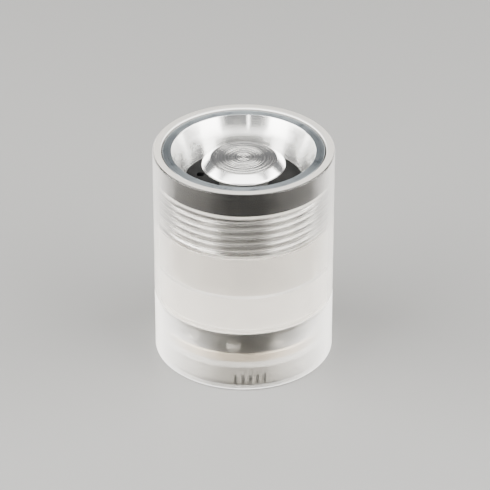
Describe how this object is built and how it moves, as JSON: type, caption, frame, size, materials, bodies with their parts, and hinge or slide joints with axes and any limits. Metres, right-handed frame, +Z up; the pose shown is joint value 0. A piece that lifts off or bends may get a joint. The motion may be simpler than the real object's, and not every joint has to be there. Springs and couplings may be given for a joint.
{
  "type": "survey prism",
  "caption": "Mini survey prism in a frosted two-piece housing that stands on its glass face, with a push-button light module screwed into the top.",
  "frame": {"origin": "centre of the underside, on the table plane the housing stands on", "axes": "+Z up along the housing's axis, out of the push-button's top; the glass looks along -Z; -Y faces the viewer, where the index grooves are"},
  "size_m": [0.033, 0.033, 0.0418],
  "materials": {
    "frosted": "frosted translucent plastic",
    "ring_alloy": "turned, satin",
    "spacer_white": "moulded, satin",
    "gasket_rubber": "matt",
    "glass": "polished",
    "cell_alloy": "turned, dull",
    "screw_steel": "bright",
    "seal_rubber": "translucent silicone",
    "bezel_alloy": "turned, polished cone and satin face",
    "ring_black": "black anodised, matt",
    "button_alloy": "turned, bright",
    "spring_steel": "plain",
    "board_green": "solder mask",
    "switch_black": "moulded",
    "plunger_white": "moulded",
    "holder_white": "moulded",
    "cell_steel": "brushed",
    "contact_gold": "plated",
    "board_white": "white solder mask",
    "led_resin": "clear resin over phosphor"
  },
  "bodies": {
    "base": {"base_cup": "frosted", "front_ring": "ring_alloy", "spacer_ring": "spacer_white", "face_gasket": "gasket_rubber", "corner_prism": "glass", "prism_cushion": "gasket_rubber", "prism_cell": "cell_alloy", "cell_screws": "screw_steel", "base_seal": "seal_rubber"},
    "sleeve": {"frosted_sleeve": "frosted"},
    "bezel_seal": {"bezel_seal": "seal_rubber"},
    "bezel": {"top_bezel": "bezel_alloy", "retaining_ring": "ring_black", "button_seal": "gasket_rubber", "return_spring": "spring_steel", "switch_board": "board_green", "tact_switch": "switch_black", "battery_holder": "holder_white", "coin_cell": "cell_steel", "battery_contact": "contact_gold", "light_board": "board_white", "leds": "led_resin", "contact_pins": "contact_gold", "holder_screws": "screw_steel"},
    "button": {"push_button": "button_alloy", "stem_clip": "spring_steel"},
    "plunger": {"switch_plunger": "plunger_white"}
  },
  "joints": [
    {"name": "sleeve_pull", "type": "slide", "parent": "base", "child": "sleeve", "axis": [0, 0, 1], "range_m": [0, 0.005]},
    {"name": "bezel_lift", "type": "slide", "parent": "sleeve", "child": "bezel_seal", "axis": [0, 0, 1], "range_m": [0, 0.0075]},
    {"name": "bezel_turn", "type": "hinge", "parent": "bezel_seal", "child": "bezel", "pos_m": [0, 0, 0.032], "axis": [0, 0, 1], "range_deg": [0, 1800]},
    {"name": "button_press", "type": "slide", "parent": "bezel", "child": "button", "axis": [0, 0, 1], "range_m": [-0.0015, 0], "stiffness_N_per_m": 800, "springref_m": 0.0006, "deforming": ["return_spring"]},
    {"name": "plunger_press", "type": "slide", "parent": "bezel", "child": "plunger", "axis": [0, 0, 1], "range_m": [-0.000251, 0]}
  ],
  "couplings": [
    {"joint": "bezel_lift", "follows": "bezel_turn", "m_per_rad": 0.00023873},
    {"joint": "plunger_press", "follows": "button_press", "ratio": 0.16667}
  ]
}
